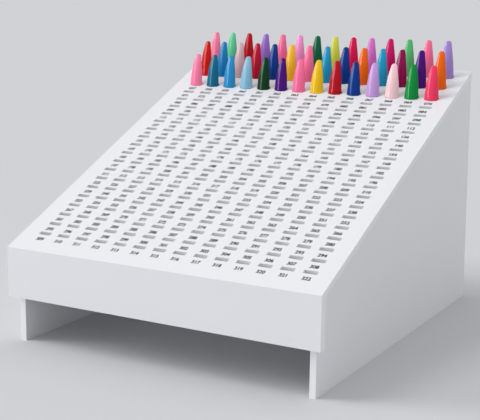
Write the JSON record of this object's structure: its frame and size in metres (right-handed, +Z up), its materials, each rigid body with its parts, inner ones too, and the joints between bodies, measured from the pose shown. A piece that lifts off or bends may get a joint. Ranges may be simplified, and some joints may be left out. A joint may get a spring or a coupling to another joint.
{
  "type": "nail polish display stand",
  "caption": "Sloping slotted display board on two side panels, with upright front board and lift-out painted sample nails in its rear rows.",
  "frame": {"origin": "on the resting surface, under the middle of the outer box", "axes": "+Z up, +X to the right seen from the front, +Y to the back"},
  "size_m": [0.307, 0.365, 0.2649],
  "materials": {
    "deck_white": "satin",
    "fascia_white": "satin",
    "side_white": "satin",
    "back_white": "satin",
    "number_ink": "printed ink",
    "paint_rose": "glossy nail lacquer",
    "paint_hot_pink": "glossy nail lacquer",
    "paint_coral": "glossy nail lacquer",
    "paint_blush": "glossy nail lacquer",
    "paint_dusty_pink": "glossy nail lacquer",
    "paint_orchid_pink": "glossy nail lacquer",
    "paint_orchid": "glossy nail lacquer",
    "paint_magenta": "glossy nail lacquer",
    "paint_plum": "glossy nail lacquer",
    "paint_raspberry": "glossy nail lacquer",
    "paint_crimson": "glossy nail lacquer",
    "paint_red": "glossy nail lacquer",
    "paint_scarlet": "glossy nail lacquer",
    "paint_orange": "glossy nail lacquer",
    "paint_amber": "glossy nail lacquer",
    "paint_yellow": "glossy nail lacquer",
    "paint_lime": "glossy nail lacquer",
    "paint_mint": "glossy nail lacquer",
    "paint_leaf": "glossy nail lacquer",
    "paint_green": "glossy nail lacquer",
    "paint_forest": "glossy nail lacquer",
    "paint_pine": "glossy nail lacquer",
    "paint_teal": "glossy nail lacquer",
    "paint_cyan": "glossy nail lacquer",
    "paint_sky": "glossy nail lacquer",
    "paint_pale_blue": "glossy nail lacquer",
    "paint_cerulean": "glossy nail lacquer",
    "paint_royal_blue": "glossy nail lacquer",
    "paint_purple": "glossy nail lacquer",
    "paint_amethyst": "glossy nail lacquer",
    "paint_lavender": "glossy nail lacquer",
    "paint_lilac": "glossy nail lacquer"
  },
  "bodies": {
    "stand": {"display_deck": "deck_white", "front_fascia": "fascia_white", "side_panel_left": "side_white", "side_panel_right": "side_white", "back_panel": "back_white"},
    "front_01": {"nail_tip_front_01": "paint_rose"},
    "front_02": {"nail_tip_front_02": "paint_teal"},
    "front_03": {"nail_tip_front_03": "paint_sky"},
    "front_04": {"nail_tip_front_04": "paint_pale_blue"},
    "front_05": {"nail_tip_front_05": "paint_forest"},
    "front_06": {"nail_tip_front_06": "paint_purple"},
    "front_07": {"nail_tip_front_07": "paint_hot_pink"},
    "front_08": {"nail_tip_front_08": "paint_yellow"},
    "front_09": {"nail_tip_front_09": "paint_red"},
    "front_10": {"nail_tip_front_10": "paint_royal_blue"},
    "front_11": {"nail_tip_front_11": "paint_lilac"},
    "front_12": {"nail_tip_front_12": "paint_blush"},
    "front_13": {"nail_tip_front_13": "paint_green"},
    "front_14": {"nail_tip_front_14": "paint_coral"},
    "middle_01": {"nail_tip_middle_01": "paint_scarlet"},
    "middle_02": {"nail_tip_middle_02": "paint_cerulean"},
    "middle_03": {"nail_tip_middle_03": "paint_dusty_pink"},
    "middle_04": {"nail_tip_middle_04": "paint_crimson"},
    "middle_05": {"nail_tip_middle_05": "paint_royal_blue"},
    "middle_06": {"nail_tip_middle_06": "paint_amber"},
    "middle_07": {"nail_tip_middle_07": "paint_hot_pink"},
    "middle_08": {"nail_tip_middle_08": "paint_cyan"},
    "middle_09": {"nail_tip_middle_09": "paint_royal_blue"},
    "middle_10": {"nail_tip_middle_10": "paint_orange"},
    "middle_11": {"nail_tip_middle_11": "paint_cyan"},
    "middle_12": {"nail_tip_middle_12": "paint_plum"},
    "middle_13": {"nail_tip_middle_13": "paint_purple"},
    "middle_14": {"nail_tip_middle_14": "paint_orange"},
    "back_01": {"nail_tip_back_01": "paint_rose"},
    "back_02": {"nail_tip_back_02": "paint_mint"},
    "back_03": {"nail_tip_back_03": "paint_red"},
    "back_04": {"nail_tip_back_04": "paint_amethyst"},
    "back_05": {"nail_tip_back_05": "paint_hot_pink"},
    "back_06": {"nail_tip_back_06": "paint_orchid_pink"},
    "back_07": {"nail_tip_back_07": "paint_pine"},
    "back_08": {"nail_tip_back_08": "paint_lime"},
    "back_09": {"nail_tip_back_09": "paint_raspberry"},
    "back_10": {"nail_tip_back_10": "paint_orchid"},
    "back_11": {"nail_tip_back_11": "paint_magenta"},
    "back_12": {"nail_tip_back_12": "paint_leaf"},
    "back_13": {"nail_tip_back_13": "paint_hot_pink"},
    "back_14": {"nail_tip_back_14": "paint_lavender"}
  },
  "joints": [
    {"name": "front_01_lift", "type": "slide", "parent": "stand", "child": "front_01", "axis": [0, 0, 1], "range_m": [0, 0.04]},
    {"name": "front_02_lift", "type": "slide", "parent": "stand", "child": "front_02", "axis": [0, 0, 1], "range_m": [0, 0.04]},
    {"name": "front_03_lift", "type": "slide", "parent": "stand", "child": "front_03", "axis": [0, 0, 1], "range_m": [0, 0.04]},
    {"name": "front_04_lift", "type": "slide", "parent": "stand", "child": "front_04", "axis": [0, 0, 1], "range_m": [0, 0.04]},
    {"name": "front_05_lift", "type": "slide", "parent": "stand", "child": "front_05", "axis": [0, 0, 1], "range_m": [0, 0.04]},
    {"name": "front_06_lift", "type": "slide", "parent": "stand", "child": "front_06", "axis": [0, 0, 1], "range_m": [0, 0.04]},
    {"name": "front_07_lift", "type": "slide", "parent": "stand", "child": "front_07", "axis": [0, 0, 1], "range_m": [0, 0.04]},
    {"name": "front_08_lift", "type": "slide", "parent": "stand", "child": "front_08", "axis": [0, 0, 1], "range_m": [0, 0.04]},
    {"name": "front_09_lift", "type": "slide", "parent": "stand", "child": "front_09", "axis": [0, 0, 1], "range_m": [0, 0.04]},
    {"name": "front_10_lift", "type": "slide", "parent": "stand", "child": "front_10", "axis": [0, 0, 1], "range_m": [0, 0.04]},
    {"name": "front_11_lift", "type": "slide", "parent": "stand", "child": "front_11", "axis": [0, 0, 1], "range_m": [0, 0.04]},
    {"name": "front_12_lift", "type": "slide", "parent": "stand", "child": "front_12", "axis": [0, 0, 1], "range_m": [0, 0.04]},
    {"name": "front_13_lift", "type": "slide", "parent": "stand", "child": "front_13", "axis": [0, 0, 1], "range_m": [0, 0.04]},
    {"name": "front_14_lift", "type": "slide", "parent": "stand", "child": "front_14", "axis": [0, 0, 1], "range_m": [0, 0.04]},
    {"name": "middle_01_lift", "type": "slide", "parent": "stand", "child": "middle_01", "axis": [0, 0, 1], "range_m": [0, 0.04]},
    {"name": "middle_02_lift", "type": "slide", "parent": "stand", "child": "middle_02", "axis": [0, 0, 1], "range_m": [0, 0.04]},
    {"name": "middle_03_lift", "type": "slide", "parent": "stand", "child": "middle_03", "axis": [0, 0, 1], "range_m": [0, 0.04]},
    {"name": "middle_04_lift", "type": "slide", "parent": "stand", "child": "middle_04", "axis": [0, 0, 1], "range_m": [0, 0.04]},
    {"name": "middle_05_lift", "type": "slide", "parent": "stand", "child": "middle_05", "axis": [0, 0, 1], "range_m": [0, 0.04]},
    {"name": "middle_06_lift", "type": "slide", "parent": "stand", "child": "middle_06", "axis": [0, 0, 1], "range_m": [0, 0.04]},
    {"name": "middle_07_lift", "type": "slide", "parent": "stand", "child": "middle_07", "axis": [0, 0, 1], "range_m": [0, 0.04]},
    {"name": "middle_08_lift", "type": "slide", "parent": "stand", "child": "middle_08", "axis": [0, 0, 1], "range_m": [0, 0.04]},
    {"name": "middle_09_lift", "type": "slide", "parent": "stand", "child": "middle_09", "axis": [0, 0, 1], "range_m": [0, 0.04]},
    {"name": "middle_10_lift", "type": "slide", "parent": "stand", "child": "middle_10", "axis": [0, 0, 1], "range_m": [0, 0.04]},
    {"name": "middle_11_lift", "type": "slide", "parent": "stand", "child": "middle_11", "axis": [0, 0, 1], "range_m": [0, 0.04]},
    {"name": "middle_12_lift", "type": "slide", "parent": "stand", "child": "middle_12", "axis": [0, 0, 1], "range_m": [0, 0.04]},
    {"name": "middle_13_lift", "type": "slide", "parent": "stand", "child": "middle_13", "axis": [0, 0, 1], "range_m": [0, 0.04]},
    {"name": "middle_14_lift", "type": "slide", "parent": "stand", "child": "middle_14", "axis": [0, 0, 1], "range_m": [0, 0.04]},
    {"name": "back_01_lift", "type": "slide", "parent": "stand", "child": "back_01", "axis": [0, 0, 1], "range_m": [0, 0.04]},
    {"name": "back_02_lift", "type": "slide", "parent": "stand", "child": "back_02", "axis": [0, 0, 1], "range_m": [0, 0.04]},
    {"name": "back_03_lift", "type": "slide", "parent": "stand", "child": "back_03", "axis": [0, 0, 1], "range_m": [0, 0.04]},
    {"name": "back_04_lift", "type": "slide", "parent": "stand", "child": "back_04", "axis": [0, 0, 1], "range_m": [0, 0.04]},
    {"name": "back_05_lift", "type": "slide", "parent": "stand", "child": "back_05", "axis": [0, 0, 1], "range_m": [0, 0.04]},
    {"name": "back_06_lift", "type": "slide", "parent": "stand", "child": "back_06", "axis": [0, 0, 1], "range_m": [0, 0.04]},
    {"name": "back_07_lift", "type": "slide", "parent": "stand", "child": "back_07", "axis": [0, 0, 1], "range_m": [0, 0.04]},
    {"name": "back_08_lift", "type": "slide", "parent": "stand", "child": "back_08", "axis": [0, 0, 1], "range_m": [0, 0.04]},
    {"name": "back_09_lift", "type": "slide", "parent": "stand", "child": "back_09", "axis": [0, 0, 1], "range_m": [0, 0.04]},
    {"name": "back_10_lift", "type": "slide", "parent": "stand", "child": "back_10", "axis": [0, 0, 1], "range_m": [0, 0.04]},
    {"name": "back_11_lift", "type": "slide", "parent": "stand", "child": "back_11", "axis": [0, 0, 1], "range_m": [0, 0.04]},
    {"name": "back_12_lift", "type": "slide", "parent": "stand", "child": "back_12", "axis": [0, 0, 1], "range_m": [0, 0.04]},
    {"name": "back_13_lift", "type": "slide", "parent": "stand", "child": "back_13", "axis": [0, 0, 1], "range_m": [0, 0.04]},
    {"name": "back_14_lift", "type": "slide", "parent": "stand", "child": "back_14", "axis": [0, 0, 1], "range_m": [0, 0.04]}
  ]
}
